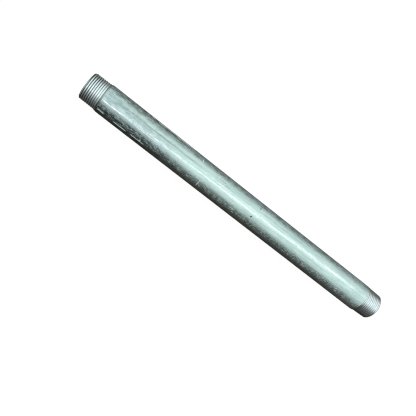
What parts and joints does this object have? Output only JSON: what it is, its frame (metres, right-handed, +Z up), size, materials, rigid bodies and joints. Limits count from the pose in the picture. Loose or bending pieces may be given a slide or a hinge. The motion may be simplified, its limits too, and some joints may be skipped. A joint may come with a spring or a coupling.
{
  "type": "threaded pipe nipple",
  "caption": "Long galvanised steel pipe nipple: a seam-welded tube with a right-hand taper pipe thread cut on each end, for joining two threaded fittings a fixed distance apart.",
  "frame": {"origin": "middle of the pipe's length, on its axis", "axes": "+X along the pipe, towards the end where the zinc's edge is out of square; +Z up, with the pipe lying level"},
  "size_m": [0.4064, 0.0338, 0.0338],
  "materials": {
    "bare_steel": "freshly cut threads, bright, with fine tool marks",
    "weld_metal": "trimmed weld flash, dull and galvanised over",
    "galvanised_outside": "hot-dip zinc, wiped, semi-gloss, mottled, faintly green",
    "galvanised_inside": "hot-dip zinc, matt and lumpy"
  },
  "bodies": {
    "root": {"steel_pipe": "bare_steel", "weld_bead": "weld_metal", "outer_zinc_coating": "galvanised_outside", "inner_zinc_coating": "galvanised_inside"}
  },
  "joints": []
}
